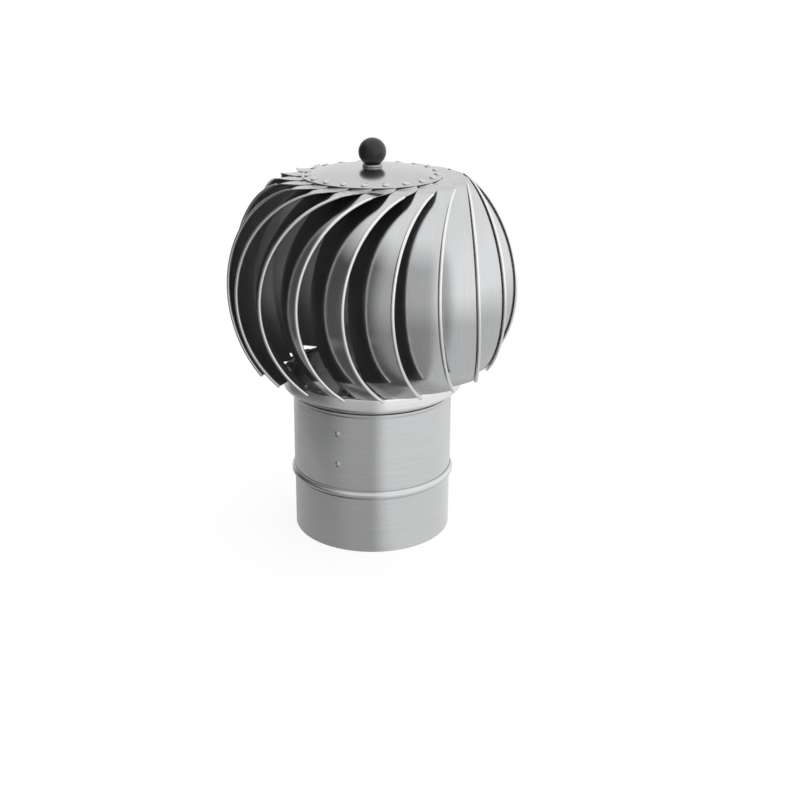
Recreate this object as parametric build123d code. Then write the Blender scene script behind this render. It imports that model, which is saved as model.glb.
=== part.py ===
from build123d import *
from math import asin, atan2, cos, degrees, radians, sin, sqrt
import os

os.makedirs("parts", exist_ok=True)

# Roof turbine ventilator for a 200 mm flue: a vaned head that turns on a spindle above a fixed duct.
# Millimetres and degrees. Z is the spindle's axis, z = 0 the lower rim. Azimuth 0 faces -Y and
# grows counter-clockwise seen from above.

# Clearances
sheet_gap = 0.3        # between sheet pieces that only rest on each other
rivet_gap = 0.1        # rivet shank in its hole, on the radius
screw_gap = 0.2        # screw in its hole, on the radius
race_gap = 0.02        # bearing races on the spindle and in the housing, on the radius
ball_gap = 0.06        # ball in its grooves, on the radius

# Base collar and duct tube
sheet = 0.6            # stainless sheet of the duct, the vanes and the ring
spigot_r = 99.0        # outside of the collar, which slides into the flue
bead_z = 71.0          # lower side of the collar's bead
bead_h = 9.0           # height of the bead
bead_out = 3.9         # how far the bead stands out
socket_lip_h = 2.2     # upright lip above the bead
tube_r = 99.6          # outside of the duct tube
tube_top_z = 181.3     # top of its rolled lip
lip_h = 4.6            # height of that lip
lip_out = 1.3          # how far it stands out

# Support bridge, a bent flat bar across the duct
bridge_az = -25.0      # azimuth of its front leg
bar_w = 32.0
bar_t = 3.0
bridge_top_z = 206.0
bridge_flat_r = 50.0   # half length of its level middle
bridge_knee_z = 162.0  # where the legs begin to follow the wall
bridge_foot_z = 98.0
bridge_bend_r = 8.0
bridge_rivet_z = (114.0, 153.5)

# Rivets
rivet_d = 4.0
rivet_head_d = 7.6
rivet_head_h = 1.3
rivet_tail_d = 6.0
rivet_tail_h = 2.0

# Bearings, 12 x 32 x 10
bore_d = 12.0
bearing_d = 32.0
bearing_w = 10.0
ball_d = 5.95
ball_count = 7
race_land = 2.4        # wall of each race beside its groove
cage_t = 1.8
cage_rim = 0.9         # cage left above and below a ball
bearing_pitch = 38.0   # height from the lower bearing's seat to the upper one's

# Bearing housing
housing_wall = 17.0
flange_r = 46.5
flange_t = 4.0
floor_t = 4.0
floor_hole_r = 10.6
housing_rim = 4.0      # wall above the upper bearing
circlip_t = 1.2
circlip_w = 2.6
circlip_groove = 1.0   # depth of its groove
circlip_seat = 0.05    # play of the circlip in its groove
cover_t = 1.2
cover_skirt = 1.6
cover_gap = 0.8        # running gap between the cover and the spindle
screw_d = 5.0
screw_r = 40.5         # from the axis to each housing screw
screw_head_d = 8.5
screw_head_h = 5.0
nut_af = 8.0
nut_h = 4.0

# Spindle
spindle_d = 16.0       # above the bearings
spindle_tail = 9.0     # length below the lower bearing
locknut_d = 19.0
locknut_h = 7.0
spacer_wall = 2.0

# Head: the vanes' hems lie on a sphere. The shares are of head_r.
head_r = 178.0
centre_share = 0.61517  # height of the head's centre above the ring
vane_count = 20
vane_az = 6.8          # azimuth of the first vane's hem at its widest
cap_share = 0.76067    # height of the cap's edge above the head's centre
cap_r = 84.6
cap_t = 0.8
cap_rise = 10.0
cap_flat_r = 14.0      # level middle of the cap
cap_rivet_in = 6.5     # from the cap's edge in to its rivets
hub_r = 13.5           # plate under the cap
hub_t = 3.0

# One vane. Its hem is a circle cut from the sphere by a plane square to a line that points
# vane_lead ahead of the hem and vane_lift up.
vane_lead = 49.1
vane_lift = 2.8
plane_share = 0.65843  # distance of that plane from the head's centre
width_share = 0.32472  # width of the strip between its edges' planes
inner_share = 0.85393  # radius of the inner edge, a flatter arc
vane_crown = 5.5       # bulge of the strip between its edges
crown_fade = 86.0      # angle whose cosine leaves the crown's share at the shoulder
hem_roll_r = 2.6       # outside of the wired edge
hem_turn = 290.0       # how far the sheet goes round the wire
foot_tip = 9.5         # height of the hem's lower tip above the ring
hem_top_in = 4.4       # from the cap's edge down to the hem's top
bend_in = 6.4          # from the cap's edge down to the inner end of the strip's shoulder
tab_edge_az = 47.4     # leading corner of the tab at the cap's edge, from the hem's azimuth
tab_sweep = 15.6       # angle that the tab takes of the cap's edge
tab_drop = 1.3         # how much lower the tab's trailing corner is
tab_in = 12.4          # length of the tab under the cap
tab_seat = 0.15        # play between the tab and the cap
vane_sections = 6
cap_rivet_az = 41.2    # from the hem's azimuth

# Lower ring
ring_r = 112.6
ring_lip_r = 103.6
ring_lip_z = 184.6
ring_wall_z = 190.5
ring_top_z = 206.5
skirt_gap = 0.8        # running gap between the ring's skirt and the duct, on the radius
skirt_h = 30.0         # depth of the skirt, which keeps rain off the gap under the ring
ring_bend_r = 2.6
ring_rivet_in = 5.6    # from the ring's outside in to its rivets
corner_in = 7.3        # from the ring's outside in to the strip's lower corner
foot_shift = -5.1      # from that corner round the ring to the rivet, against the lead
foot_w = 16.0
foot_l = 9.0

# Knob
knob_r = 16.7
knob_rise = 27.3       # from the cap's edge up to the ball's centre
knob_flat_r = 8.8      # flat underside
knob_bore_depth = 13.0
collar_r = 12.0        # washer between the cap and the knob
collar_chamfer = 0.6

# Worked out
head_z = ring_top_z + centre_share * head_r
hem_plane = plane_share * head_r
vane_w = width_share * head_r
inner_arc_r = inner_share * head_r
cap_edge_z = head_z + cap_share * head_r
hem_top_z = cap_edge_z - hem_top_in
shoulder_z = cap_edge_z - bend_in
knob_z = cap_edge_z + knob_rise
cap_rivet_r = cap_r - cap_rivet_in
ring_rivet_r = ring_r - ring_rivet_in
skirt_r = tube_r - 2 * sheet - skirt_gap
cap_centre_z = cap_edge_z + cap_rise
knob_flat_z = knob_z - sqrt(knob_r ** 2 - knob_flat_r ** 2)
pitch = 360 / vane_count
seat_z = bridge_top_z + floor_t
upper_seat_z = seat_z + bearing_pitch
housing_top_z = upper_seat_z + bearing_w + housing_rim
bore_r = bore_d / 2
bearing_r = bearing_d / 2
ball_r = ball_d / 2
ball_circle = (bore_r + bearing_r) / 2
tube_bottom_z = bead_z + sheet + sheet_gap
hub_z = cap_centre_z - cap_t - hub_t


def polar(r, az, z):
    a = radians(az)
    return Vector(r * sin(a), -r * cos(a), z)


def around(solid, angles):
    return [solid.rotate(Axis.Z, a) for a in angles]


def save(name, *solids):
    shape = solids[0] if len(solids) == 1 else Compound(children=list(solids))
    shape.label = name
    export_step(shape, f"parts/{name}.step")


def only(shape):
    solids = shape.solids()
    return max(solids, key=lambda s: s.volume)


# A turned piece: a closed outline of (radius, height) points spun about Z.
def turned(points):
    outline = make_face(Polyline(*[(r, 0, z) for r, z in points], close=True))
    return only(revolve(outline, Axis.Z, 360))


# A spun sheet: a line of (radius, height) points with rounded corners, given a wall on its left.
def spun(points, bend, wall):
    line = FilletPolyline(*points, radius=bend)
    outline = make_face(offset(line, amount=wall, side=Side.LEFT, kind=Kind.INTERSECTION))
    standing = Plane.XZ.location * outline
    return only(revolve(standing, Axis.Z, 360))


# A tube or disc with a hole, from z0 up to z1.
def tube(r_out, r_in, z0, z1):
    ring = Cylinder(r_out, z1 - z0, align=(Align.CENTER, Align.CENTER, Align.MIN))
    ring -= Cylinder(r_in, z1 - z0, align=(Align.CENTER, Align.CENTER, Align.MIN))
    return only(ring.moved(Location((0, 0, z0))))


# A dome rivet whose head rests on z = 0, through a stack of sheets below it.
def rivet(stack):
    head_r = rivet_head_d / 2
    dome_r = (head_r ** 2 + rivet_head_h ** 2) / (2 * rivet_head_h)
    rise = asin(head_r / dome_r) / 2
    crest = (dome_r * sin(rise), dome_r * cos(rise) - dome_r + rivet_head_h)
    shank, tail = rivet_d / 2, rivet_tail_d / 2
    outline = Wire([
        Line((0, rivet_head_h), (0, -stack - rivet_tail_h)),
        Line((0, -stack - rivet_tail_h), (tail, -stack - rivet_tail_h)),
        Line((tail, -stack - rivet_tail_h), (tail, -stack)),
        Line((tail, -stack), (shank, -stack)),
        Line((shank, -stack), (shank, 0)),
        Line((shank, 0), (head_r, 0)),
        ThreePointArc((head_r, 0), crest, (0, rivet_head_h)),
    ])
    return only(revolve(Plane.XZ.location * make_face(outline.edges()), Axis.Z, 360))


# The place of a rivet: at a point, with its head facing along a direction.
def facing(point, direction):
    return Plane(origin=point, z_dir=direction).location


def drill(point, direction, radius, reach):
    return Cylinder(radius, 2 * reach).moved(facing(point, direction))


# Collar: straight spigot, then a bead that stands out, then an upright lip around the tube.
def base_collar():
    inner = spigot_r - sheet
    lip_r = tube_r + sheet_gap
    points = [(inner, 0), (inner, bead_z), (inner + bead_out, bead_z + bead_h * 0.35),
              (inner + bead_out, bead_z + bead_h * 0.65), (lip_r, bead_z + bead_h),
              (lip_r, bead_z + bead_h + socket_lip_h)]
    return spun([(-r, z) for r, z in points], 0.9, sheet)


def leg_rivets():
    spots = []
    for side in (bridge_az, bridge_az + 180):
        for z in bridge_rivet_z:
            spots.append((polar(tube_r, side, z), polar(1, side, 0)))
    return spots


def duct_tube():
    wall = tube_r - sheet
    lip = [(wall, tube_bottom_z), (wall, tube_top_z - lip_h), (wall + lip_out, tube_top_z - lip_h * 0.6),
           (wall + lip_out, tube_top_z)]
    shell = spun([(-r, z) for r, z in lip], 0.8, sheet)
    for point, out in leg_rivets():
        shell -= drill(point, out, rivet_d / 2 + rivet_gap, 5)
    return only(shell)


# Bridge: a flat bar bent so that its legs lie along the tube's wall.
def leg_face_r():
    return sqrt((tube_r - sheet) ** 2 - (bar_w / 2) ** 2) - sheet_gap


def support_bridge():
    x = leg_face_r()
    top = bridge_top_z
    points = [(-x, bridge_foot_z), (-x, bridge_knee_z), (-bridge_flat_r, top), (bridge_flat_r, top),
              (x, bridge_knee_z), (x, bridge_foot_z)]
    line = FilletPolyline(*points, radius=bridge_bend_r)
    strip = offset(line, amount=bar_t, side=Side.RIGHT, kind=Kind.INTERSECTION)
    bar = extrude(Plane.XZ.location * make_face(strip), amount=bar_w / 2, both=True)
    middle = Cylinder(floor_hole_r, bar_t * 3).moved(Location((0, 0, top)))
    holes = Cylinder(screw_d / 2 + screw_gap, bar_t * 3)
    bar -= [middle] + [holes.moved(Location((s * screw_r, 0, top))) for s in (-1, 1)]
    bar = bar.rotate(Axis.Z, bridge_az - 90)
    for point, out in leg_rivets():
        bar -= drill(point, out, rivet_d / 2 + rivet_gap, 9)
    return only(bar)


def bridge_rivets():
    stack = tube_r - leg_face_r() + bar_t
    return [rivet(stack).moved(facing(point, out)) for point, out in leg_rivets()]


# Housing: flanged, with one bore for both bearings and a groove for the circlip.
def bearing_housing():
    bore = bearing_r + race_gap
    outer = bearing_r + housing_wall
    groove_z = upper_seat_z + bearing_w
    z0 = bridge_top_z
    body = turned([
        (floor_hole_r, z0), (flange_r, z0), (flange_r, z0 + flange_t), (outer, z0 + flange_t),
        (outer, housing_top_z), (bore, housing_top_z), (bore, groove_z + circlip_t + circlip_seat),
        (bore + circlip_groove, groove_z + circlip_t + circlip_seat),
        (bore + circlip_groove, groove_z), (bore, groove_z), (bore, seat_z), (floor_hole_r, seat_z)])
    hole = Cylinder(screw_d / 2 + screw_gap, flange_t * 4)
    for s in (-1, 1):
        body -= hole.moved(Location((s * screw_r, 0, z0))).rotate(Axis.Z, bridge_az - 90)
    return only(body)


def housing_screws():
    top = bridge_top_z + flange_t
    reach = flange_t + bar_t + nut_h + 1.5
    screw = Cylinder(screw_head_d / 2, screw_head_h, align=(Align.CENTER, Align.CENTER, Align.MIN))
    socket = extrude(RegularPolygon(screw_d / 2, 6, major_radius=False), screw_head_h)
    screw -= socket.moved(Location((0, 0, screw_head_h * 0.45)))
    screw += Cylinder(screw_d / 2, reach, align=(Align.CENTER, Align.CENTER, Align.MAX))
    return [only(screw).moved(Location((s * screw_r, 0, top))).rotate(Axis.Z, bridge_az - 90)
            for s in (-1, 1)]


def housing_nuts():
    top = bridge_top_z - bar_t
    nut = extrude(RegularPolygon(nut_af / 2, 6, major_radius=False), nut_h)
    nut -= Cylinder(screw_d / 2 + screw_gap / 4, nut_h * 3)
    return [only(nut).moved(Location((s * screw_r, 0, top - nut_h))).rotate(Axis.Z, bridge_az - 90)
            for s in (-1, 1)]


def housing_circlip():
    z0 = upper_seat_z + bearing_w + circlip_seat / 2
    outer = bearing_r + race_gap + circlip_groove - circlip_seat
    ring = tube(outer, outer - circlip_w, z0, z0 + circlip_t)
    mouth = Box(outer, outer * 0.6, circlip_t * 3).moved(Location((outer, 0, z0)))
    return only(ring - mouth)


def dust_cover():
    hole = spindle_d / 2 + cover_gap
    skirt = bearing_r - race_gap
    z0, z1 = housing_top_z, housing_top_z + cover_t
    return turned([
        (hole, z0), (skirt - cover_t, z0), (skirt - cover_t, z0 - cover_skirt), (skirt, z0 - cover_skirt),
        (skirt, z0), (bearing_r + housing_wall, z0), (bearing_r + housing_wall, z1), (hole, z1)])


# Bearing races, balls and cage, with the lower face of the bearing at z0.
def groove(z0):
    return Torus(ball_circle, ball_r + ball_gap).moved(Location((0, 0, z0 + bearing_w / 2)))


def outer_race(z0):
    return only(tube(bearing_r, bearing_r - race_land, z0, z0 + bearing_w) - groove(z0))


def inner_race(z0):
    return only(tube(bore_r + race_land, bore_r + race_gap, z0, z0 + bearing_w) - groove(z0))


def balls(z0):
    ball = Sphere(ball_r).moved(Location((ball_circle, 0, z0 + bearing_w / 2)))
    return around(only(ball), [i * 360 / ball_count for i in range(ball_count)])


def cage(z0):
    half = ball_r + ball_gap + cage_rim
    middle = z0 + bearing_w / 2
    ring = tube(ball_circle + cage_t / 2, ball_circle - cage_t / 2, middle - half, middle + half)
    pocket = Cylinder(ball_r + ball_gap, cage_t * 3).moved(Location((ball_circle, 0, middle), (0, 90, 0)))
    return only(ring - around(pocket, [i * 360 / ball_count for i in range(ball_count)]))


def spacer(r_out, r_in):
    return tube(r_out, r_in, seat_z + bearing_w, upper_seat_z)


# Spindle: thin through the bearings, a shoulder on the upper race, thin again through the cap.
def spindle():
    shoulder = upper_seat_z + bearing_w
    big = spindle_d / 2
    top = knob_flat_z + knob_bore_depth - sheet_gap
    return turned([(0, seat_z - spindle_tail), (bore_r, seat_z - spindle_tail), (bore_r, shoulder),
                   (big, shoulder), (big, hub_z), (bore_r, hub_z), (bore_r, top), (0, top)])


def spindle_locknut():
    nut = extrude(RegularPolygon(locknut_d / 2, 6, major_radius=True), locknut_h)
    nut -= Cylinder(bore_r + race_gap, locknut_h * 3)
    return only(nut).moved(Location((0, 0, seat_z - locknut_h)))


# Cap: level in the middle, then a shallow arc down to its edge.
def cap_arc_r():
    run = cap_r - cap_flat_r
    return (run ** 2 + cap_rise ** 2) / (2 * cap_rise)


def cap_z(r):
    run = max(r - cap_flat_r, 0)
    return cap_centre_z - cap_arc_r() + sqrt(cap_arc_r() ** 2 - run ** 2)


def cap_out(az):
    slope = asin((cap_rivet_r - cap_flat_r) / cap_arc_r())
    return polar(sin(slope), az, cos(slope))


def cap_rivet_spots():
    angles = [vane_az + cap_rivet_az + pitch * i for i in range(vane_count)]
    return [(polar(cap_rivet_r, az, cap_z(cap_rivet_r)), cap_out(az)) for az in angles]


def top_cap():
    hole = bore_r + screw_gap
    mid = (cap_flat_r + cap_r) / 2
    outline = Wire([
        Line((hole, cap_centre_z), (cap_flat_r, cap_centre_z)),
        ThreePointArc((cap_flat_r, cap_centre_z), (mid, cap_z(mid)), (cap_r, cap_edge_z)),
        Line((cap_r, cap_edge_z), (cap_r, cap_edge_z - cap_t)),
        ThreePointArc((cap_r, cap_edge_z - cap_t), (mid, cap_z(mid) - cap_t),
                      (cap_flat_r, cap_centre_z - cap_t)),
        Line((cap_flat_r, cap_centre_z - cap_t), (hole, cap_centre_z - cap_t)),
        Line((hole, cap_centre_z - cap_t), (hole, cap_centre_z)),
    ])
    cap = revolve(Plane.XZ.location * make_face(outline.edges()), Axis.Z, 360)
    holes = [drill(point, out, rivet_d / 2 + rivet_gap, 2) for point, out in cap_rivet_spots()]
    return only(cap - holes)


# Vane geometry. The strip's own axis runs through the head's centre; "along" is that axis,
# "side" points from it to the hem and "up" closes the triad.
def vane_triad():
    a, b = radians(vane_lead), radians(vane_lift)
    along = Vector(sin(a) * cos(b), -cos(a) * cos(b), sin(b))
    side = polar(1, vane_lead - 90, 0)
    return Vector(0, 0, head_z), along, side, side.cross(along)


def roll_centre():
    hem_r = sqrt(head_r ** 2 - hem_plane ** 2)
    shrink = (head_r - hem_roll_r) / head_r
    return hem_plane * shrink, hem_r * shrink


# How far an arc about the strip's axis has to swing to reach a height, from how far along that axis
# it lies and from its radius.
def swing_to(distance, radius, z):
    centre, along, side, up = vane_triad()
    return asin((z - (centre + along * distance).Z) / (radius * up.Z))


# Set-back of the inner arc's centre that brings the strip's lower corner to its place on the ring.
def inner_back():
    centre, along, side, up = vane_triad()
    distance = roll_centre()[0] - vane_w
    swing = swing_to(distance, inner_arc_r, ring_top_z)
    foot = along * distance + up * (inner_arc_r * sin(swing))
    return inner_arc_r * cos(swing) - sqrt((ring_r - corner_in) ** 2 - foot.X ** 2 - foot.Y ** 2)


# The strip's inner and outer ends at a height from 0, the foot, to 1, the shoulder, with the way
# that its outer face looks and how much of the crown is left there.
def strip_ends(rise):
    centre, along, side, up = vane_triad()
    distance, radius = roll_centre()
    foot_a = swing_to(distance - vane_w, inner_arc_r, ring_top_z)
    top_a = swing_to(distance - vane_w, inner_arc_r, shoulder_z)
    foot_b = swing_to(distance, radius, ring_top_z + foot_tip)
    top_b = swing_to(distance, radius, hem_top_z)
    a = foot_a + (top_a - foot_a) * rise
    b = foot_b + (top_b - foot_b) * rise
    inner = centre + along * (distance - vane_w)
    inner += side * (inner_arc_r * cos(a) - inner_back()) + up * (inner_arc_r * sin(a))
    reach = radius - hem_roll_r + sheet
    outer = centre + along * distance + side * (reach * cos(b)) + up * (reach * sin(b))
    mean = (a + b) / 2
    fade = cos(radians(crown_fade) * mean / ((top_a + top_b) / 2))
    return inner, outer, side * cos(mean) + up * sin(mean), fade


# Section of the strip: crowned sheet whose outer end is wrapped up and back round a wire.
def strip_section(rise):
    inner, outer, out, fade = strip_ends(rise)
    across = outer - inner
    w, bulge = across.length, vane_crown * fade
    normal = across.cross(out)
    hem = CenterArc((w, hem_roll_r - sheet), hem_roll_r, -90, hem_turn)
    outline = Wire([
        ThreePointArc((0, 0), (w / 2, bulge), (w, 0)), Line((w, 0), hem @ 1), hem,
        ThreePointArc(hem @ 0, (w / 2, bulge - sheet), (0, -sheet)), Line((0, -sheet), (0, 0))])
    return Plane(origin=inner, x_dir=across, z_dir=normal).location * make_face(outline.edges())


# The tab: from the shoulder inwards to the cap's edge, then on under the cap.
def tab_corner(r, az, low):
    return polar(r, az, cap_z(r) - cap_t - tab_seat - low)


def tab_section(a, b):
    down = Vector(0, 0, -sheet)
    return make_face(Polyline(a, b, b + down, a + down, close=True))


def tab_sheet():
    inner, outer, out, fade = strip_ends(1)
    lead, trail = tab_edge_az, tab_edge_az - tab_sweep
    end_r = cap_r - tab_in
    return loft([tab_section(inner, outer),
                 tab_section(tab_corner(cap_r, trail, tab_drop), tab_corner(cap_r, lead, 0)),
                 tab_section(tab_corner(end_r, trail + 1, tab_drop), tab_corner(end_r, lead + 1, 0))],
                ruled=True)


# The foot: a small level tab on the ring, beside the strip's lower corner.
def foot_az():
    corner = strip_ends(0)[0]
    return degrees(atan2(corner.X, -corner.Y) + foot_shift / ring_rivet_r)


def vane_foot():
    foot = Box(foot_w, foot_l, sheet, align=(Align.CENTER, Align.CENTER, Align.MIN))
    return foot.moved(Location(polar(ring_rivet_r, foot_az(), ring_top_z), (0, 0, foot_az())))


def vane():
    sections = [strip_section(i / vane_sections) for i in range(vane_sections + 1)]
    body = loft(sections) + tab_sheet() + vane_foot()
    hole_r = rivet_d / 2 + rivet_gap
    body -= drill(polar(cap_rivet_r, cap_rivet_az, cap_z(cap_rivet_r)), cap_out(cap_rivet_az), hole_r, 4)
    body -= drill(polar(ring_rivet_r, foot_az(), ring_top_z), Vector(0, 0, 1), hole_r, 4)
    return only(body)


# Lower ring: rolled lip, upright wall, a level flange that carries the vanes' feet, and a skirt
# that hangs inside the duct.
def ring_rivet_spots():
    angles = [vane_az + foot_az() + pitch * i for i in range(vane_count)]
    return [polar(ring_rivet_r, az, ring_top_z) for az in angles]


def lower_ring():
    points = [(ring_lip_r, ring_lip_z), (ring_r, ring_wall_z), (ring_r, ring_top_z), (skirt_r, ring_top_z),
              (skirt_r, ring_top_z - skirt_h)]
    ring = spun(points, ring_bend_r, sheet)
    up = Vector(0, 0, 1)
    return only(ring - [drill(spot, up, rivet_d / 2 + rivet_gap, 3) for spot in ring_rivet_spots()])


def ring_rivets():
    stud = rivet(sheet * 2)
    return [stud.moved(Location(spot + Vector(0, 0, sheet))) for spot in ring_rivet_spots()]


def cap_rivets():
    stud = rivet(cap_t + tab_seat + sheet + tab_drop * 0.8)
    return [stud.moved(facing(point, out)) for point, out in cap_rivet_spots()]


# Washer and ball knob on the spindle's upper end.
def knob_washer():
    c, hole = collar_chamfer, bore_r + race_gap
    z0, z1 = cap_centre_z, knob_flat_z
    return turned([(hole, z0), (collar_r - c, z0), (collar_r, z0 + c), (collar_r, z1 - c),
                   (collar_r - c, z1), (hole, z1)])


def ball_knob():
    ball = Sphere(knob_r).moved(Location((0, 0, knob_z)))
    ball -= Box(knob_r * 3, knob_r * 3, knob_r).moved(Location((0, 0, knob_flat_z - knob_r / 2)))
    bore = Cylinder(bore_r + race_gap, knob_bore_depth * 2)
    return only(ball - bore.moved(Location((0, 0, knob_flat_z))))


def write_parts():
    save("base_collar", base_collar())
    save("duct_tube", duct_tube())
    save("support_bridge", support_bridge())
    save("bridge_rivets", *bridge_rivets())
    save("bearing_housing", bearing_housing())
    save("housing_screws", *housing_screws())
    save("housing_nuts", *housing_nuts())
    save("housing_circlip", housing_circlip())
    save("dust_cover", dust_cover())
    save("outer_spacer", spacer(bearing_r - race_gap, bearing_r - spacer_wall))
    save("inner_spacer", spacer(bore_r + spacer_wall, bore_r + race_gap))
    for name, z0 in (("lower", seat_z), ("upper", upper_seat_z)):
        save(f"{name}_outer_race", outer_race(z0))
        save(f"{name}_inner_race", inner_race(z0))
        save(f"{name}_balls", *balls(z0))
        save(f"{name}_cage", cage(z0))
    save("spindle", spindle())
    save("spindle_locknut", spindle_locknut())
    save("hub_plate", tube(hub_r, bore_r + race_gap, hub_z, hub_z + hub_t))
    save("top_cap", top_cap())
    save("cap_rivets", *cap_rivets())
    save("lower_ring", lower_ring())
    save("ring_rivets", *ring_rivets())
    save("knob_washer", knob_washer())
    save("ball_knob", ball_knob())
    first = vane()
    for i in range(vane_count):
        save(f"vane_{i + 1:02d}", first.rotate(Axis.Z, vane_az + pitch * i))


write_parts()
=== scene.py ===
import math
import bmesh
import bpy
import numpy as np
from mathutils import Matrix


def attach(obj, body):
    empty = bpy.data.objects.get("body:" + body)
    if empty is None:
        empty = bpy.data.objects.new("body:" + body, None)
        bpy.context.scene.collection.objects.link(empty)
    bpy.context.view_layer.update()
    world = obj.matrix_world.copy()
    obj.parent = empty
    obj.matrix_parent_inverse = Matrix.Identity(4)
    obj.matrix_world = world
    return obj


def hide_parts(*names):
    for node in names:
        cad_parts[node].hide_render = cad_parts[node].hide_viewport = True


# Roof turbine ventilator: a head of hemmed vanes that turns on a spindle above a fixed duct.
# Sizes are in millimetres and degrees; azimuth 0 faces the camera and grows to the right.
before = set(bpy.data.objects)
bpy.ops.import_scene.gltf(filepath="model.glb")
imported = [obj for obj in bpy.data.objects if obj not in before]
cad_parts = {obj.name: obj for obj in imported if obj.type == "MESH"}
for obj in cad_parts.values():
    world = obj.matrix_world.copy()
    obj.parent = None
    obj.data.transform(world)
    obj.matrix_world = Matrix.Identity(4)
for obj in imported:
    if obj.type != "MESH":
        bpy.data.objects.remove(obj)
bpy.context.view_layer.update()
scene = bpy.context.scene
mm = 0.001
sheet = 0.6  # thickness of the stainless sheet


# Mesh helpers

def polar(radius, azimuth, height):  # point from a radius, an azimuth and a height
    radius, turn, height = np.broadcast_arrays(radius, np.radians(azimuth), height)
    return np.stack([radius * np.sin(turn), -radius * np.cos(turn), height], -1)


def unit(vectors):
    return vectors / np.maximum(np.linalg.norm(vectors, axis=-1, keepdims=True), 1e-12)


def gridFaces(rows, columns, wrapRows=False, wrapColumns=False):  # quads between neighbouring rows and columns
    lastRow = rows if wrapRows else rows - 1
    lastColumn = columns if wrapColumns else columns - 1
    row, column = np.meshgrid(np.arange(lastRow), np.arange(lastColumn), indexing="ij")
    below, after = (row + 1) % rows, (column + 1) % columns
    corners = [row * columns + column, row * columns + after, below * columns + after, below * columns + column]
    return np.stack(corners, -1).reshape(-1, 4)


def surfaceNormals(surface):  # cross product of the steps along columns and rows
    return unit(np.cross(np.gradient(surface, axis=1), np.gradient(surface, axis=0)))


def sheetShell(surface, thickness):  # the surface, the same set back by the thickness, and a rim that joins them
    rows, columns = surface.shape[:2]
    back = surface - surfaceNormals(surface) * thickness
    front = gridFaces(rows, columns)
    index = np.arange(rows * columns).reshape(rows, columns)
    loop = np.concatenate([index[0, :-1], index[:-1, -1], index[-1, :0:-1], index[:0:-1, 0]])
    ahead = np.roll(loop, -1)
    shift = rows * columns
    rim = np.stack([ahead, loop, loop + shift, ahead + shift], -1)
    return np.concatenate([surface.reshape(-1, 3), back.reshape(-1, 3)]), \
        np.concatenate([front, front[:, ::-1] + shift, rim])


def joinShells(shells):  # one list of points and faces from several
    offsets = np.cumsum([0] + [len(points) for points, faces in shells[:-1]])
    return np.concatenate([points for points, faces in shells]), \
        np.concatenate([faces + offset for (points, faces), offset in zip(shells, offsets)])


def outward(points, faces):  # turns a closed shell whose signed volume is negative
    a, b, c, d = (points[faces[:, i]] for i in range(4))
    volume = np.einsum("ij,ij->", a, np.cross(b, c)) + np.einsum("ij,ij->", a, np.cross(c, d))
    return (points, faces) if volume > 0 else (points, faces[:, ::-1])


def roundedLine(points, radius, steps=8):  # each corner becomes a quadratic curve that starts radius before it
    points = np.array(points, float)
    before = unit(points[:-2] - points[1:-1])
    after = unit(points[2:] - points[1:-1])
    t = np.linspace(0, 1, steps)[None, :, None]
    corner = points[1:-1, None]
    start, end = corner + before[:, None] * radius, corner + after[:, None] * radius
    curve = start * (1 - t) ** 2 + corner * 2 * t * (1 - t) + end * t ** 2
    return np.concatenate([points[:1], curve.reshape(-1, points.shape[1]), points[-1:]])


def thickLine(line, thickness):  # closed outline half the thickness to each side of a line
    step = unit(np.gradient(line, axis=0))
    side = np.stack([-step[:, 1], step[:, 0]], -1) * thickness / 2
    return np.concatenate([line + side, (line - side)[::-1]])


def turnedShell(outline, segments, closed=True):  # an outline of (radius, height) carried round the spindle's axis
    outline = np.array(outline, float)
    turn = np.arange(segments) * 360 / segments
    points = polar(outline[None, :, 0], turn[:, None], outline[None, :, 1])
    faces = gridFaces(segments, len(outline), wrapRows=True, wrapColumns=closed)
    return outward(points.reshape(-1, 3), faces)


def makePiece(name, shell, material, body, stands=(), uv=None, sharp=35, finishes=None):
    # stands: CAD nodes that it replaces; uv: place of each point in the brush pattern, in mm; sharp: degrees
    # finishes: further materials and, for each face, which of them all it has
    points, faces = shell
    mesh = bpy.data.meshes.new(name)
    mesh.from_pydata(points * mm, [], faces.tolist())
    mesh.materials.append(material)
    if finishes:
        for extra in finishes[0]:
            mesh.materials.append(extra)
        mesh.polygons.foreach_set("material_index", finishes[1])
    if uv is not None:
        layer = mesh.uv_layers.new(name="grain")
        corners = np.zeros(len(mesh.loops), np.int32)
        mesh.loops.foreach_get("vertex_index", corners)
        layer.data.foreach_set("uv", (uv[corners] * mm).astype(np.float32).ravel())
    welded = bmesh.new()
    welded.from_mesh(mesh)
    bmesh.ops.remove_doubles(welded, verts=welded.verts, dist=1e-6)
    welded.to_mesh(mesh)
    welded.free()
    mesh.shade_smooth()
    mesh.set_sharp_from_angle(angle=math.radians(sharp))
    piece = bpy.data.objects.new(name, mesh)
    scene.collection.objects.link(piece)
    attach(piece, body)
    if stands:
        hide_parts(*stands)
    return piece


# Material helpers

def colour(hexCode):  # sRGB hex to linear
    parts = [int(hexCode[i:i + 2], 16) / 255 for i in (0, 2, 4)]
    return tuple(c / 12.92 if c <= 0.04045 else ((c + 0.055) / 1.055) ** 2.4 for c in parts) + (1.0,)


def addNode(tree, kind, settings=None, links=None):
    # settings: attribute or input name to value; links: input name or number to another node's output
    node = tree.nodes.new(kind)
    for key, value in (settings or {}).items():
        if hasattr(node, key):
            setattr(node, key, value)
        else:
            node.inputs[key].default_value = value
    for key, output in (links or {}).items():
        tree.links.new(output, node.inputs[key])
    return node


def newMaterial(name):
    material = bpy.data.materials.new(name)
    material.use_nodes = True
    material.node_tree.nodes.clear()
    return material, material.node_tree


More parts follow.
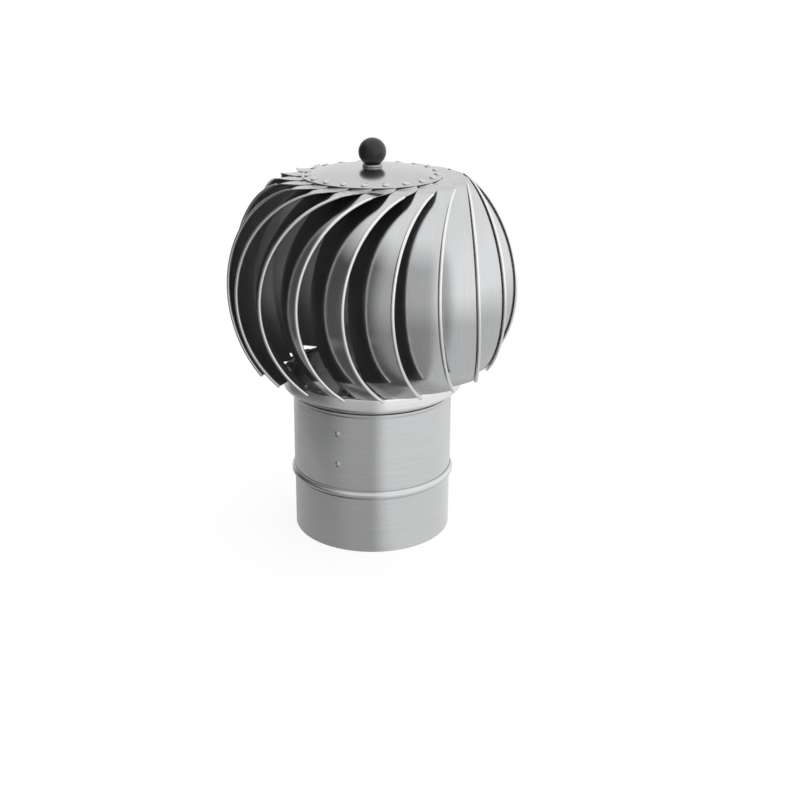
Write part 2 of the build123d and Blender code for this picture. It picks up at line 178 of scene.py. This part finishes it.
def rampOf(tree, source, stops):  # colour ramp with (place, value) stops
    ramp = addNode(tree, "ShaderNodeValToRGB", links={"Fac": source})
    elements = ramp.color_ramp.elements
    for i, (place, value) in enumerate(stops):
        element = elements[i] if i < 2 else elements.new(place)
        element.position = place
        element.color = (value, value, value, 1)
    return ramp.outputs["Color"]


def azimuthOf(tree, vector):  # share of a whole turn, from 0 at azimuth -180
    turned = addNode(tree, "ShaderNodeMapping", {"Rotation": (0, 0, math.radians(90))}, {"Vector": vector})
    angle = addNode(tree, "ShaderNodeTexGradient", {"gradient_type": "RADIAL"},
                    {"Vector": turned.outputs["Vector"]})
    return angle.outputs["Fac"]


def turnShare(azimuth):  # the same share for a number
    return (azimuth + 180) / 360


def varied(tree, source, middle, spread, ends=(0.3, 0.7)):  # a noise becomes a value that varies by the spread
    return addNode(tree, "ShaderNodeMapRange", {"From Min": ends[0], "From Max": ends[1],
                   "To Min": middle * (1 - spread), "To Max": middle * (1 + spread)}, {"Value": source})


def shaded(tree, hexCode, tone):  # a colour made darker and lighter by a tone
    shade = addNode(tree, "ShaderNodeVectorMath", {"operation": "SCALE"}, {"Scale": tone.outputs["Result"]})
    shade.inputs[0].default_value = colour(hexCode)[:3]
    return shade.outputs["Vector"]


steelLook = {
    "colour": "c9cacb",
    "streakGap": 1.6,      # mm between drawn brush lines; the real ones, about 0.1 mm, would not show
    "streakLength": 60.0,  # mm
    "cloudSize": 40.0,     # mm, faint unevenness from rolling
    "cloudDepth": 0.12,    # share by which it changes the roughness
}


# Stainless sheet, cold-rolled and brushed: the lines blur reflections across them and leave them sharp along them.
def brushedStainless(name, along, roughness, stretch, uvGrain=False, tint=None, streak=0.05):
    # along: axis of the lines, or "round" the object; stretch: how much the lines blur one way
    material, tree = newMaterial(name)
    look = steelLook
    place = addNode(tree, "ShaderNodeTexCoord")
    across, lengthways = 1 / (look["streakGap"] * mm), 1 / (look["streakLength"] * mm)
    scale = [lengthways if axis in ("xy" if along == "round" else along) else across for axis in "xyz"]
    grain = addNode(tree, "ShaderNodeMapping", {"Scale": scale},
                    {"Vector": place.outputs["UV" if uvGrain else "Object"]})
    lines = addNode(tree, "ShaderNodeTexNoise", {"Scale": 1.0, "Detail": 3.0, "Roughness": 0.7},
                    {"Vector": grain.outputs["Vector"]})
    cloud = addNode(tree, "ShaderNodeTexNoise", {"Scale": 1 / (look["cloudSize"] * mm), "Detail": 2.0},
                    {"Vector": place.outputs["Object"]})
    tone = varied(tree, lines.outputs["Fac"], 1, streak, ends=(0.25, 0.75))
    rough = varied(tree, cloud.outputs["Fac"], roughness, look["cloudDepth"])
    shader = addNode(tree, "ShaderNodeBsdfPrincipled", {"Metallic": 1.0, "Anisotropic": stretch},
                     {"Base Color": shaded(tree, tint or look["colour"], tone),
                      "Roughness": rough.outputs["Result"]})
    if uvGrain:
        tangent = addNode(tree, "ShaderNodeTangent", {"direction_type": "UV_MAP", "uv_map": "grain"})
        tree.links.new(tangent.outputs["Tangent"], shader.inputs["Tangent"])
    elif along == "round":
        shader.inputs["Anisotropic Rotation"].default_value = 0.25
        tangent = addNode(tree, "ShaderNodeTangent", {"direction_type": "RADIAL", "axis": "Z"})
        tree.links.new(tangent.outputs["Tangent"], shader.inputs["Tangent"])
    addNode(tree, "ShaderNodeOutputMaterial", links={"Surface": shader.outputs["BSDF"]})
    return material


# Plain metals and plastic of the small and inner pieces, with fine wear in colour and roughness.
def plainFinish(name, hexCode, metallic, roughness, grainSize, wear=0.08, bumpHeight=0.01):
    material, tree = newMaterial(name)
    place = addNode(tree, "ShaderNodeTexCoord")
    grain = addNode(tree, "ShaderNodeTexNoise", {"Scale": 1 / (grainSize * mm), "Detail": 4.0},
                    {"Vector": place.outputs["Object"]})
    tone = varied(tree, grain.outputs["Fac"], 1, wear)
    rough = varied(tree, grain.outputs["Fac"], roughness, 0.15)
    bump = addNode(tree, "ShaderNodeBump", {"Strength": 0.1, "Distance": bumpHeight * mm},
                   {"Height": grain.outputs["Fac"]})
    shader = addNode(tree, "ShaderNodeBsdfPrincipled", {"Metallic": metallic},
                     {"Base Color": shaded(tree, hexCode, tone), "Roughness": rough.outputs["Result"],
                      "Normal": bump.outputs["Normal"]})
    addNode(tree, "ShaderNodeOutputMaterial", links={"Surface": shader.outputs["BSDF"]})
    return material


# Vanes: brushed lengthways outside, plain mill finish inside with painted shade in its darker colour, a painted
# highlight in the lighter colour of the rolled hem, painted shade in the dark colour of its raw edge, and blurred
# by bending at the tab. Duct and ring: brushed round, the ring with a painted highlight in its lighter colour. Cap:
# brushed straight across.
vaneSteel = brushedStainless("brushedStainlessVane", "y", 0.13, 0.85, uvGrain=True)
# darker tint: partly the duller mill finish, partly painted shade of the head's interior between the vanes
paintedShadeInnerSteel = brushedStainless("unbrushedInsideWithPaintedShade", "y", 0.42, 0.0, uvGrain=True, tint="949495")
# painted highlight: the hem's lighter tint stands in for the bright lines that the rolled hems catch
paintedHighlightHemSteel = brushedStainless("paintedHighlightRolledEdge", "y", 0.2, 0.3, uvGrain=True, tint="e8e8e8", streak=0.03)
# painted shade: the raw edge's dark tint stands in for the shadow in the gap next to each hem
paintedShadeEdgeSteel = brushedStainless("shearedEdgeWithPaintedShade", "y", 0.45, 0.0, uvGrain=True, tint="585859")
tabSteel = brushedStainless("bentStainlessTab", "y", 0.36, 0.0, uvGrain=True, tint="d0d0d1", streak=0.02)
ductSteel = brushedStainless("brushedStainlessDuct", "round", 0.22, 0.85, tint="cfd0d1")
capSteel = brushedStainless("brushedStainlessCap", "x", 0.2, 0.0)
# painted highlight: the ring's lighter tint makes it look as bright as its reflections
paintedHighlightRingSteel = brushedStainless("spunRingWithPaintedHighlight", "round", 0.2, 0.4, tint="eeeeee")
# Small and inner pieces: cold-headed, zinc plated, turned, ground, stamped and moulded.
rivetSteel = plainFinish("bluntStainlessRivet", "d2d2d2", 1.0, 0.22, 1.0)
zincSteel = plainFinish("zincPlatedSteel", "b4b6b6", 1.0, 0.34, 2.0)
turnedAluminium = plainFinish("turnedAluminium", "c8cacc", 1.0, 0.3, 0.6)
groundSteel = plainFinish("groundBearingSteel", "b9babc", 1.0, 0.12, 0.8, wear=0.03)
cageBrass = plainFinish("stampedBrass", "c8a256", 1.0, 0.28, 0.8)
knobPhenolic = plainFinish("mouldedBlackPhenolic", "1b1b1c", 0.0, 0.33, 0.5, wear=0.15, bumpHeight=0.02)
print("materials ready")


# Head: vanes. The strip's axis runs through the head's centre; a hem of rolled sheet edges it.
vaneShape = {
    "centreZ": 316.0, "headRadius": 177.4, "count": 20, "firstAzimuth": 6.8,
    "lead": 49.1, "lift": 2.8,           # way that the strip's axis points, from the hem's azimuth
    "hemPlane": 117.2, "width": 57.8,    # hem's distance along that axis and the strip's width
    "innerRadius": 152.0, "innerBack": 18.0,
    "crown": 5.5, "crownFade": 86.0,
    "rollRadius": 1.65, "rollTurn": 262.0, "rollColumns": 30,
    "taperStart": 0.72, "taper": 0.42,   # share of the rise where the roll starts to narrow; its share at the top
    "paintedShadeFromColumn": 26,                       # columns of the roll after which its raw edge has a dark colour, painted shade for the shadow in the gap by the hem
    "footZ": 206.5, "tipZ": 216.0, "hemTopZ": 447.0, "bendZ": 445.0,
    "tabLead": 47.4, "tabSweep": 15.6, "tabDrop": 1.3, "tabIn": 12.4, "tabSeat": 0.15,
    "rows": 84, "columns": 22, "tabRows": 18,
    "tabBent": 7,                        # rows of the tab before its smoother finish
}
capShape = {
    "radius": 84.6, "thickness": 0.8, "edgeZ": 451.4, "rise": 10.0, "flat": 14.0, "hole": 6.2, "bevel": 0.15,
    "rivetRadius": 78.1, "rivetAzimuth": 40.7,
}
ringShape = {
    "radius": 112.6, "lipRadius": 103.6, "lipZ": 184.6, "wallZ": 190.5, "topZ": 206.5,
    "skirt": 97.9, "skirtZ": 176.5,      # middle of the skirt's sheet, which hangs inside the duct
    "bend": 2.6, "rivetRadius": 107.0, "rivetAzimuth": -6.8, "footWidth": 16.0, "footLength": 9.0,
}


def capHeight(radius):  # level middle, then a circle's arc down to the edge
    run = np.maximum(radius - capShape["flat"], 0)
    span, rise = capShape["radius"] - capShape["flat"], capShape["rise"]
    arc = (span ** 2 + rise ** 2) / (2 * rise)
    return capShape["edgeZ"] + rise - arc + np.sqrt(arc ** 2 - run ** 2)


def stripEnds(rise):
    # inner and outer edge of the strip: arcs about the strip's own axis, from the foot (0) to the shoulder (1)
    v = vaneShape
    lead, lift = math.radians(v["lead"]), math.radians(v["lift"])
    along = np.array([math.sin(lead) * math.cos(lift), -math.cos(lead) * math.cos(lift), math.sin(lift)])
    side = polar(1.0, v["lead"] - 90, 0.0)
    up = np.cross(side, along)
    centre = np.array([0, 0, v["centreZ"]])
    shrink = (v["headRadius"] - v["rollRadius"]) / v["headRadius"]
    distance = v["hemPlane"] * shrink
    radius = math.sqrt(v["headRadius"] ** 2 - v["hemPlane"] ** 2) * shrink

    def swing(reach, arcRadius, height):
        return math.asin((height - (centre + along * reach)[2]) / (arcRadius * up[2]))

    back = distance - v["width"]
    a0, a1 = (swing(back, v["innerRadius"], v[key]) for key in ("footZ", "bendZ"))
    b0, b1 = (swing(distance, radius, v[key]) for key in ("tipZ", "hemTopZ"))
    rise = np.asarray(rise)[:, None]
    a, b = a0 + (a1 - a0) * rise, b0 + (b1 - b0) * rise
    inner = centre + along * back + side * (v["innerRadius"] * np.cos(a) - v["innerBack"]) \
        + up * v["innerRadius"] * np.sin(a)
    reach = radius - v["rollRadius"] + sheet
    outer = centre + along * distance + side * reach * np.cos(b) + up * reach * np.sin(b)
    mean = (a + b) / 2
    facing = side * np.cos(mean) + up * np.sin(mean)
    fade = np.cos(math.radians(v["crownFade"]) * mean / ((a1 + b1) / 2))
    return inner, outer, facing, fade


def stripFrame(rise):  # directions across the strip and out of its face, with its width
    inner, outer, facing, fade = stripEnds(rise)
    across = outer - inner
    width = np.linalg.norm(across, axis=-1, keepdims=True)
    across = across / width
    out = unit(facing - across * np.sum(facing * across, -1, keepdims=True))
    return inner, across, out, width, fade


def stripSurface(rise, share):  # straight from inner to outer edge, bulged by a parabola: 4 crown share (1 - share)
    inner, across, out, width, fade = stripFrame(rise)
    share = share[None, :, None]
    bulge = 4 * vaneShape["crown"] * fade[:, None] * share * (1 - share)
    return inner[:, None] + across[:, None] * width[:, None] * share + out[:, None] * bulge


def tabSurface(share):
    # cubic curves from the shoulder to the cap's edge that leave along the strip and arrive along the cap
    v, c = vaneShape, capShape
    shoulder = stripSurface(np.array([0.98, 1.0]), share)
    start, leave = shoulder[1], unit(shoulder[1] - shoulder[0])

    def line(radius, turn):
        azimuth = v["tabLead"] - v["tabSweep"] * (1 - share) + turn
        drop = v["tabDrop"] * (1 - share)
        return polar(radius, azimuth, capHeight(radius) - c["thickness"] - v["tabSeat"] - drop)

    edge, end = line(c["radius"], 0), line(c["radius"] - v["tabIn"], 1)
    gap = np.linalg.norm(edge - start, axis=-1, keepdims=True)
    t = np.linspace(0, 1, v["tabRows"] + 1)[1:, None, None]
    bend = start * (2 * t ** 3 - 3 * t ** 2 + 1) + leave * gap * 0.8 * (t ** 3 - 2 * t ** 2 + t) \
        + edge * (3 * t ** 2 - 2 * t ** 3) + unit(end - edge) * gap * 0.8 * (t ** 3 - t ** 2)
    inside = edge + (end - edge) * np.linspace(0, 1, 5)[1:, None, None]
    return np.concatenate([bend, inside])


def hemSurface(rise):  # circle about a centre on the face's side of the outer edge, rolled from below, out and back
    v = vaneShape
    inner, across, out, width, fade = stripFrame(rise)
    turn = np.radians(np.linspace(-90, v["rollTurn"] - 90, v["rollColumns"]))[None, :, None]
    # towards its top the roll narrows by a parabola, down to the taper's share
    high = np.clip((rise - v["taperStart"]) / (1 - v["taperStart"]), 0, 1)
    radius = (v["rollRadius"] * (1 - (1 - v["taper"]) * high ** 2))[:, None]
    centre = (inner + across * width + out * (radius - sheet))[:, None]
    return centre + (across[:, None] * np.cos(turn) + out[:, None] * np.sin(turn)) * radius[:, None]


def patternOf(surface):  # distances across and along a surface in mm, for the brush lines of its two sides
    across = np.cumsum(np.linalg.norm(np.diff(surface, axis=1, prepend=surface[:, :1]), axis=-1), axis=1)
    along = np.cumsum(np.linalg.norm(np.diff(surface, axis=0, prepend=surface[:1]), axis=-1), axis=0)
    return np.tile(np.stack([across, along], -1).reshape(-1, 2), (2, 1))


def footSurface():  # small level tab on the ring
    r, v = ringShape, vaneShape
    azimuth = r["rivetAzimuth"] + np.degrees(np.linspace(-0.5, 0.5, 13) * r["footWidth"] / r["rivetRadius"])
    radius = r["rivetRadius"] + np.linspace(-0.5, 0.5, 7) * r["footLength"]
    return polar(radius[:, None], azimuth[None, :], v["footZ"] + sheet)


def turnAbout(points, angle):
    c, s = math.cos(math.radians(angle)), math.sin(math.radians(angle))
    return points @ np.array([[c, s, 0], [-s, c, 0], [0, 0, 1]])


share = np.linspace(0, 1, vaneShape["columns"] + 1)
rise = np.linspace(0, 1, vaneShape["rows"] + 1)
stripSheet = np.concatenate([stripSurface(rise, share), tabSurface(share)])
vaneGrids = (stripSheet, hemSurface(rise), footSurface())
vaneParts = [outward(*sheetShell(grid, sheet)) for grid in vaneGrids]
vaneShell = joinShells(vaneParts)
vaneUv = np.concatenate([patternOf(grid) for grid in vaneGrids])
stripCells = (len(stripSheet) - 1) * vaneShape["columns"]
stripFaces, hemFaces = (len(faces) for points, faces in vaneParts[:2])
vaneFaceFinishesAndPaintedLight = np.zeros(len(vaneShell[1]), np.int32)  # 0: brushed
vaneFaceFinishesAndPaintedLight[stripCells:2 * stripCells] = 1           # duller finish, and painted shade in its darker colour, on the strip's inner side
tabStart = (vaneShape["rows"] + vaneShape["tabBent"]) * vaneShape["columns"]
vaneFaceFinishesAndPaintedLight[tabStart:stripCells] = 4                 # smoother on the tab
hemColumn = np.arange(hemFaces) % (vaneShape["rollColumns"] - 1)
hemPaintedHighlightAndShade = np.where(hemColumn > vaneShape["paintedShadeFromColumn"], 3, 2)  # painted highlight in the hem's lighter colour up to its raw edge, painted shade in the raw edge's dark colour after it
vaneFaceFinishesAndPaintedLight[stripFaces:stripFaces + hemFaces] = hemPaintedHighlightAndShade
for i in range(vaneShape["count"]):
    turned = turnAbout(vaneShell[0], vaneShape["firstAzimuth"] + i * 360 / vaneShape["count"])
    makePiece(f"hemmedVane{i + 1:02d}", (turned, vaneShell[1]), vaneSteel, "rotor",
              [f"vane_{i + 1:02d}"], vaneUv, finishes=((paintedShadeInnerSteel, paintedHighlightHemSteel, paintedShadeEdgeSteel, tabSteel), vaneFaceFinishesAndPaintedLight))
print("vanes ready")


# Rivets: low domes with a shank and a flat tail, all placed at once.
rivetShape = {"headRadius": 4.2, "headHeight": 2.1, "headRim": 0.9, "shank": 2.0, "tailRadius": 3.0,
              "tailHeight": 2.0}


def rivetOutline(stack):  # a circle's arc over the head, its upright rim, then in steps down to the tail
    s = rivetShape
    rise = s["headHeight"] - s["headRim"]
    arc = (s["headRadius"] ** 2 + rise ** 2) / (2 * rise)
    angle = np.linspace(0, math.asin(s["headRadius"] / arc), 9)
    dome = np.stack([arc * np.sin(angle), arc * np.cos(angle) - arc + s["headHeight"]], -1)
    rest = [(s["headRadius"], -0.05), (s["shank"], -0.05), (s["shank"], -stack), (s["tailRadius"], -stack),
            (s["tailRadius"], -stack - s["tailHeight"]), (0, -stack - s["tailHeight"])]
    return np.concatenate([dome, rest])


def rivetShells(stack, places, directions):  # the turned rivet stood on each place along its direction
    points, faces = turnedShell(rivetOutline(stack), 20, closed=False)
    z = unit(directions)[:, None]
    x = unit(np.cross(np.array([0.3, 0.5, 0.81]), z))
    y = np.cross(z, x)
    placed = places[:, None] + x * points[None, :, :1] + y * points[None, :, 1:2] + z * points[None, :, 2:]
    return joinShells([outward(group, faces) for group in placed])


def capSlope(azimuth):  # the cap's outward direction at its rivets
    c = capShape
    high, low = capHeight(c["rivetRadius"] - 0.5), capHeight(c["rivetRadius"] + 0.5)
    return polar(high - low, azimuth, 1.0)


headTurns = vaneShape["firstAzimuth"] + np.arange(vaneShape["count"]) * 360 / vaneShape["count"]
capRivetTurns = headTurns + capShape["rivetAzimuth"]
capRivetStack = capShape["thickness"] + vaneShape["tabSeat"] + sheet + vaneShape["tabDrop"] * 0.8
makePiece("capDomeRivets", rivetShells(
    capRivetStack, polar(capShape["rivetRadius"], capRivetTurns, capHeight(capShape["rivetRadius"])),
    capSlope(capRivetTurns)), rivetSteel, "rotor", ["cap_rivets"])
ringRivetTurns = headTurns + ringShape["rivetAzimuth"]
makePiece("ringDomeRivets", rivetShells(
    2 * sheet, polar(ringShape["rivetRadius"], ringRivetTurns, ringShape["topZ"] + sheet),
    polar(0.0, ringRivetTurns, 1.0)), rivetSteel, "rotor", ["ring_rivets"])
print("rivets ready")


# Cap, ring, washer and knob
def capOutline():
    c = capShape
    radius = c["hole"] + (c["radius"] - c["hole"]) * np.linspace(0, 1, 60)
    top = np.stack([radius, capHeight(radius)], -1)
    edgeZ = top[-1, 1]
    bevel = [[c["radius"] - c["bevel"], edgeZ], [c["radius"], edgeZ - c["bevel"]]]
    return np.concatenate([top[:-1], bevel, (top - [0, c["thickness"]])[::-1]])


makePiece("domedCap", turnedShell(capOutline(), 180), capSteel, "rotor", ["top_cap"])


def ringLine():  # middle of the sheet from the lower lip up the wall, in over the flange and down the skirt
    r = ringShape
    wall, flange = r["radius"] - sheet / 2, r["topZ"] - sheet / 2
    return roundedLine([(r["lipRadius"], r["lipZ"]), (wall, r["wallZ"]), (wall, flange), (r["skirt"], flange),
                        (r["skirt"], r["skirtZ"])], r["bend"])


makePiece("flangedRing", turnedShell(thickLine(ringLine(), sheet), 200), paintedHighlightRingSteel, "rotor",
          ["lower_ring"])

knobShape = {"radius": 16.7, "centreZ": 478.7, "flatRadius": 8.8, "bore": 6.02, "boreDepth": 13.0}


def knobOutline():  # a circle from the pole down to the flat underside, then into the bore
    k = knobShape
    angle = np.linspace(0, math.pi - math.asin(k["flatRadius"] / k["radius"]), 64)
    ball = np.stack([k["radius"] * np.sin(angle), k["centreZ"] + k["radius"] * np.cos(angle)], -1)
    flatZ = ball[-1, 1]
    return np.concatenate([ball, [[k["bore"], flatZ], [k["bore"], flatZ + k["boreDepth"]],
                                  [0, flatZ + k["boreDepth"]]]])


makePiece("ballKnob", turnedShell(knobOutline(), 96, closed=False), knobPhenolic, "rotor",
          ["ball_knob"])
print("cap, ring and knob ready")

# Duct: tube with its lip and collar with its bead
ductShape = {
    "tubeRadius": 99.6, "tubeBottom": 71.9, "tubeTop": 181.3, "lipHeight": 4.6, "lipOut": 1.3, "lipBend": 0.8,
    "spigotRadius": 99.0, "beadZ": 71.0, "beadHeight": 9.0, "beadOut": 3.9, "socketLip": 2.2, "gap": 0.3,
    "beadBend": 1.1,
}


def tubeLine():  # middle of the tube's wall, up to the lip that steps outwards
    d = ductShape
    wall = d["tubeRadius"] - sheet / 2
    return roundedLine([(wall, d["tubeBottom"]), (wall, d["tubeTop"] - d["lipHeight"]),
                        (wall + d["lipOut"], d["tubeTop"] - d["lipHeight"] * 0.6),
                        (wall + d["lipOut"], d["tubeTop"])], d["lipBend"])


def collarLine():  # middle of the collar's wall, out over the bead and up to the socket's lip
    d = ductShape
    inner = d["spigotRadius"] - sheet / 2
    lip = d["tubeRadius"] + d["gap"] + sheet / 2
    return roundedLine([(inner, 0), (inner, d["beadZ"]), (inner + d["beadOut"], d["beadZ"] + d["beadHeight"] * 0.3),
                        (inner + d["beadOut"], d["beadZ"] + d["beadHeight"] * 0.7),
                        (lip, d["beadZ"] + d["beadHeight"]),
                        (lip, d["beadZ"] + d["beadHeight"] + d["socketLip"])], d["beadBend"])


for name, line, node in (("ductTube", tubeLine(), "duct_tube"), ("baseCollar", collarLine(), "base_collar")):
    makePiece(name, turnedShell(thickLine(line, sheet), 200), ductSteel, "base", [node])
print("duct ready")

# Finishes of the pieces that keep their CAD mesh
nodeFinish = {
    "support_bridge": zincSteel, "bridge_rivets": rivetSteel, "bearing_housing": turnedAluminium,
    "housing_screws": zincSteel, "housing_nuts": zincSteel, "housing_circlip": groundSteel,
    "dust_cover": zincSteel, "outer_spacer": turnedAluminium, "inner_spacer": turnedAluminium,
    "lower_outer_race": groundSteel, "upper_outer_race": groundSteel, "lower_inner_race": groundSteel,
    "upper_inner_race": groundSteel, "lower_balls": groundSteel, "upper_balls": groundSteel,
    "lower_cage": cageBrass, "upper_cage": cageBrass, "spindle": zincSteel, "spindle_locknut": zincSteel,
    "hub_plate": zincSteel, "knob_washer": zincSteel,
}
for node, finish in nodeFinish.items():
    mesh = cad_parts[node].data
    mesh.materials.clear()
    mesh.materials.append(finish)
print("inner pieces finished")

# Studio: a plain room, white to the camera, and a floor that keeps the shadow
roomLook = {
    # light of the floor and the wall on each side: dark at the left, bright at the right, one ceiling over all
    "back": (0.5, 0.9), "left": (0.1, 0.1), "front": (0.35, 0.6), "right": (0.7, 1.2), "ceiling": 1.1,
    "floorEnd": -30, "wallStart": 0, "wallEnd": 30, "ceilingStart": 60,     # elevations
    # the azimuths between which a side takes over from the one before
    "turns": [("left", -160, -120), ("front", -70, -30), ("right", 0, 20), ("back", 140, 170)],
    # the floor, with what the low duct mirrors of it close by: one level behind, at the left and at the right
    "floorGlow": 0.8, "floorWhite": "8c8c8c", "floorReach": 6.0, "floorDrop": 0.0004,   # metres
    "nearRadius": 0.5,                                                                  # metres
    "nearFacing": (0.35, 0.55),          # share of grazing from which the low duct mirrors the floor close by
    "nearGlow": [(-180, 0.6), (-120, 0.45), (0, 0.45), (20, 0.9), (120, 0.9), (180, 0.6)],   # (azimuth, light)
}


def makeRoom():
    world = bpy.data.worlds.new("softRoom")
    scene.world = world
    world.use_nodes = True
    tree = world.node_tree
    tree.nodes.clear()
    place = addNode(tree, "ShaderNodeTexCoord")
    azimuth = azimuthOf(tree, place.outputs["Generated"])
    height = addNode(tree, "ShaderNodeSeparateXYZ", links={"Vector": place.outputs["Generated"]})
    rise = addNode(tree, "ShaderNodeMath", {"operation": "ARCSINE"}, {0: height.outputs["Z"]})
    level = addNode(tree, "ShaderNodeMapRange", {"From Min": -math.pi / 2, "From Max": math.pi / 2},
                    {"Value": rise.outputs["Value"]})

    def side(name):
        look = roomLook
        low, high = look[name]
        stops = [(look["floorEnd"], low), (look["wallStart"], high), (look["wallEnd"], high),
                 (look["ceilingStart"], look["ceiling"])]
        return rampOf(tree, level.outputs["Result"], [((e + 90) / 180, light) for e, light in stops])

    def blend(share, before, after):  # after is another node's output or a colour
        mixed = addNode(tree, "ShaderNodeMix", {"data_type": "RGBA"}, {0: share, 6: before})
        if isinstance(after, tuple):
            mixed.inputs[7].default_value = after
        else:
            tree.links.new(after, mixed.inputs[7])
        return mixed.outputs[2]

    room = side("back")
    for name, start, end in roomLook["turns"]:
        share = addNode(tree, "ShaderNodeMapRange", {"From Min": turnShare(start), "From Max": turnShare(end),
                        "interpolation_type": "SMOOTHSTEP"}, {"Value": azimuth})
        room = blend(share.outputs["Result"], room, side(name))
    ray = addNode(tree, "ShaderNodeLightPath")
    seen = blend(ray.outputs["Is Camera Ray"], room, (1, 1, 1, 1))
    glow = addNode(tree, "ShaderNodeBackground", links={"Color": seen})
    addNode(tree, "ShaderNodeOutputWorld", links={"Surface": glow.outputs["Background"]})


def makeFloor():
    # pale paint with a glow for the camera; mirrored surfaces see only its part near the object, and only low down
    material, tree = newMaterial("paleFloor")
    look = roomLook
    ray = addNode(tree, "ShaderNodeLightPath")
    paint = addNode(tree, "ShaderNodeBsdfDiffuse", {"Color": colour(look["floorWhite"])})
    glow = addNode(tree, "ShaderNodeEmission", {"Strength": look["floorGlow"]})
    lit = addNode(tree, "ShaderNodeAddShader")
    tree.links.new(paint.outputs["BSDF"], lit.inputs[0])
    tree.links.new(glow.outputs["Emission"], lit.inputs[1])
    place = addNode(tree, "ShaderNodeTexCoord")
    nearGlow = rampOf(tree, azimuthOf(tree, place.outputs["Object"]),
                      [(turnShare(azimuth), light) for azimuth, light in look["nearGlow"]])
    mirrored = addNode(tree, "ShaderNodeEmission", links={"Color": nearGlow})
    reach = addNode(tree, "ShaderNodeVectorMath", {"operation": "LENGTH"}, {0: place.outputs["Object"]})
    near = addNode(tree, "ShaderNodeMapRange", {"From Min": look["nearRadius"] * 1.2, "From Max":
                   look["nearRadius"] * 0.9}, {"Value": reach.outputs["Value"]})
    facing = addNode(tree, "ShaderNodeLayerWeight", {"Blend": 0.5})
    lowest, highest = look["nearFacing"]
    low = addNode(tree, "ShaderNodeMapRange", {"From Min": lowest, "From Max": highest},
                  {"Value": facing.outputs["Facing"]})
    shown = addNode(tree, "ShaderNodeMath", {"operation": "MULTIPLY"},
                    {0: near.outputs["Result"], 1: low.outputs["Result"]})
    clear = addNode(tree, "ShaderNodeBsdfTransparent")
    glossyMix = addNode(tree, "ShaderNodeMixShader", links={"Fac": shown.outputs["Value"]})
    tree.links.new(clear.outputs["BSDF"], glossyMix.inputs[1])
    tree.links.new(mirrored.outputs["Emission"], glossyMix.inputs[2])
    floorMix = addNode(tree, "ShaderNodeMixShader", links={"Fac": ray.outputs["Is Glossy Ray"]})
    tree.links.new(lit.outputs["Shader"], floorMix.inputs[1])
    tree.links.new(glossyMix.outputs["Shader"], floorMix.inputs[2])
    addNode(tree, "ShaderNodeOutputMaterial", links={"Surface": floorMix.outputs["Shader"]})
    mesh = bpy.data.meshes.new("floor")
    corners = [(x * look["floorReach"], y * look["floorReach"], -look["floorDrop"])
               for x, y in ((-1, -1), (1, -1), (1, 1), (-1, 1))]
    mesh.from_pydata(corners, [], [(0, 1, 2, 3)])
    floor = bpy.data.objects.new("floor", mesh)
    scene.collection.objects.link(floor)
    mesh.materials.append(material)


cameraView = {
    "place": (0, -1.435, 0.713), "pitch": 18.37, "sensor": 36,
    # in pixels of a picture 800 wide: focal length, and where the camera's axis meets it
    "width": 800, "focal": 1208.2, "axis": (371.8, 344.5), "middle": 399.5,
}


def makeCamera():
    c = cameraView
    data = bpy.data.cameras.new("camera")
    data.sensor_width = c["sensor"]
    data.lens = c["focal"] * c["sensor"] / c["width"]
    data.shift_x = (c["middle"] - c["axis"][0]) / c["width"]
    data.shift_y = -(c["middle"] - c["axis"][1]) / c["width"]
    camera = bpy.data.objects.new("camera", data)
    camera.location = c["place"]
    camera.rotation_euler = (math.radians(90 - c["pitch"]), 0, 0)
    scene.collection.objects.link(camera)
    scene.camera = camera


makeRoom()
makeFloor()
makeCamera()
scene.view_settings.view_transform = "Standard"
print("studio ready")
